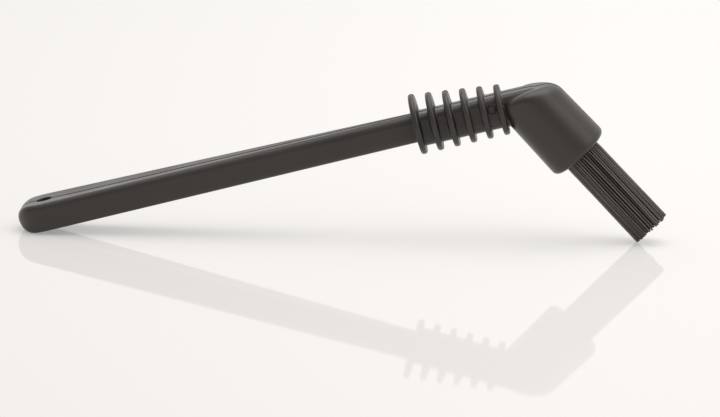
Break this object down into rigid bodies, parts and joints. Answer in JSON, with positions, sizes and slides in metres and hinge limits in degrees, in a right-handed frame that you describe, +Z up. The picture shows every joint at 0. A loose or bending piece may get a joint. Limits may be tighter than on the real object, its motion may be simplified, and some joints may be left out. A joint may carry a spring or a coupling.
{
  "type": "angled tuft brush",
  "caption": "Angled cleaning brush: slim handle with a hang hole, ribbed neck, round bent head and a round bundle of stiff filament tufts held by flat wire anchors.",
  "frame": {"origin": "bottom centre of the bounding box: on the table, under the middle of the brush as it rests", "axes": "+X from the tail to the head, +Y across the brush away from the viewer, +Z up; the brush is stored as it rests on a table, on its tail and the ends of its lowest tufts"},
  "size_m": [0.2408, 0.024, 0.0591],
  "materials": {
    "handle": "satin, fine moulded grain",
    "filament": "satin extruded filament",
    "anchor_wire": "bright drawn flat wire"
  },
  "bodies": {
    "root": {"handle": "handle", "tuft_01": "filament", "tuft_02": "filament", "tuft_03": "filament", "tuft_04": "filament", "tuft_05": "filament", "tuft_06": "filament", "tuft_07": "filament", "tuft_08": "filament", "tuft_09": "filament", "tuft_10": "filament", "tuft_11": "filament", "tuft_12": "filament", "tuft_13": "filament", "tuft_14": "filament", "tuft_15": "filament", "tuft_16": "filament", "tuft_17": "filament", "tuft_18": "filament", "tuft_19": "filament", "anchor_01": "anchor_wire", "anchor_02": "anchor_wire", "anchor_03": "anchor_wire", "anchor_04": "anchor_wire", "anchor_05": "anchor_wire", "anchor_06": "anchor_wire", "anchor_07": "anchor_wire", "anchor_08": "anchor_wire", "anchor_09": "anchor_wire", "anchor_10": "anchor_wire", "anchor_11": "anchor_wire", "anchor_12": "anchor_wire", "anchor_13": "anchor_wire", "anchor_14": "anchor_wire", "anchor_15": "anchor_wire", "anchor_16": "anchor_wire", "anchor_17": "anchor_wire", "anchor_18": "anchor_wire", "anchor_19": "anchor_wire"}
  },
  "joints": []
}
